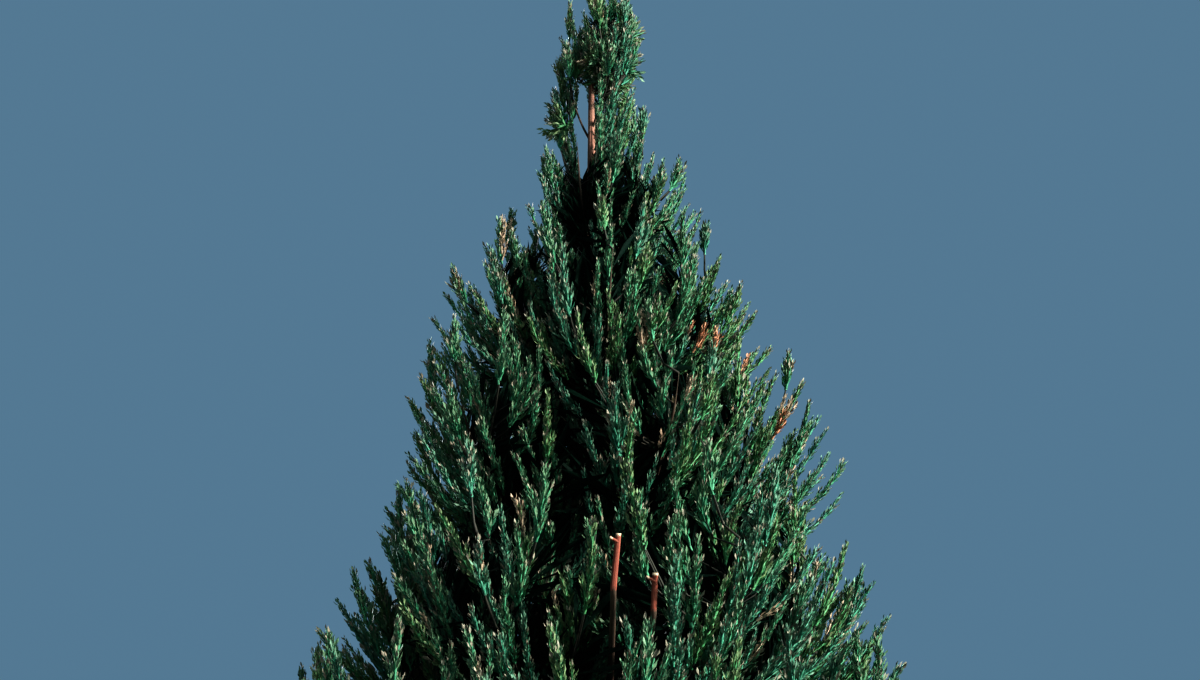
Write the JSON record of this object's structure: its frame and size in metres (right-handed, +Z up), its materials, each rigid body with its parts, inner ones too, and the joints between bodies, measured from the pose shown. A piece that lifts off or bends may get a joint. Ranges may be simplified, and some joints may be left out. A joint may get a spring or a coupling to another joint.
{
  "type": "chinese juniper tree",
  "caption": "Whole conical evergreen juniper with an upright trunk, rising boughs and dense steep plumes of foliage, fixed in the ground.",
  "frame": {"origin": "middle of the trunk's flat cut at ground level", "axes": "+Z up along the trunk, +Y away from the picture's viewer, +X to the viewer's right"},
  "size_m": [3.2512, 3.3269, 5.4],
  "materials": {
    "bark": "fibrous, shredding bark, matt",
    "foliage": "matt scale leaves in dense sprays, grey-green at the tips"
  },
  "bodies": {
    "root": {"bough_6_1": "bark", "bough_6_2": "bark", "bough_6_3": "bark", "bough_6_4": "bark", "bough_6_5": "bark", "bough_6_6": "bark", "bough_7_1": "bark", "bough_7_2": "bark", "bough_7_3": "bark", "bough_7_4": "bark", "bough_7_5": "bark", "bough_7_6": "bark", "bough_8_1": "bark", "bough_8_2": "bark", "bough_8_3": "bark", "bough_8_4": "bark", "bough_8_5": "bark", "bough_8_6": "bark", "foliage_1_1": "foliage", "foliage_1_2": "foliage", "foliage_1_3": "foliage", "foliage_2_1": "foliage", "foliage_2_2": "foliage", "foliage_2_3": "foliage", "foliage_3_1": "foliage", "foliage_3_2": "foliage", "foliage_3_3": "foliage", "foliage_3_4": "foliage", "foliage_4_1": "foliage", "foliage_4_2": "foliage", "foliage_4_3": "foliage", "foliage_4_4": "foliage", "foliage_4_5": "foliage", "foliage_5_1": "foliage", "foliage_5_2": "foliage", "foliage_5_3": "foliage", "foliage_5_4": "foliage", "foliage_5_5": "foliage", "foliage_5_6": "foliage", "foliage_6_1": "foliage", "foliage_6_2": "foliage", "foliage_6_3": "foliage", "foliage_6_4": "foliage", "foliage_6_5": "foliage", "foliage_6_6": "foliage", "foliage_7_1": "foliage", "foliage_7_2": "foliage", "foliage_7_3": "foliage", "foliage_7_4": "foliage", "foliage_7_5": "foliage", "foliage_7_6": "foliage", "foliage_8_1": "foliage", "foliage_8_2": "foliage", "foliage_8_3": "foliage", "foliage_8_4": "foliage", "foliage_8_5": "foliage", "foliage_8_6": "foliage", "foliage_leader": "foliage", "trunk": "bark"}
  },
  "joints": []
}
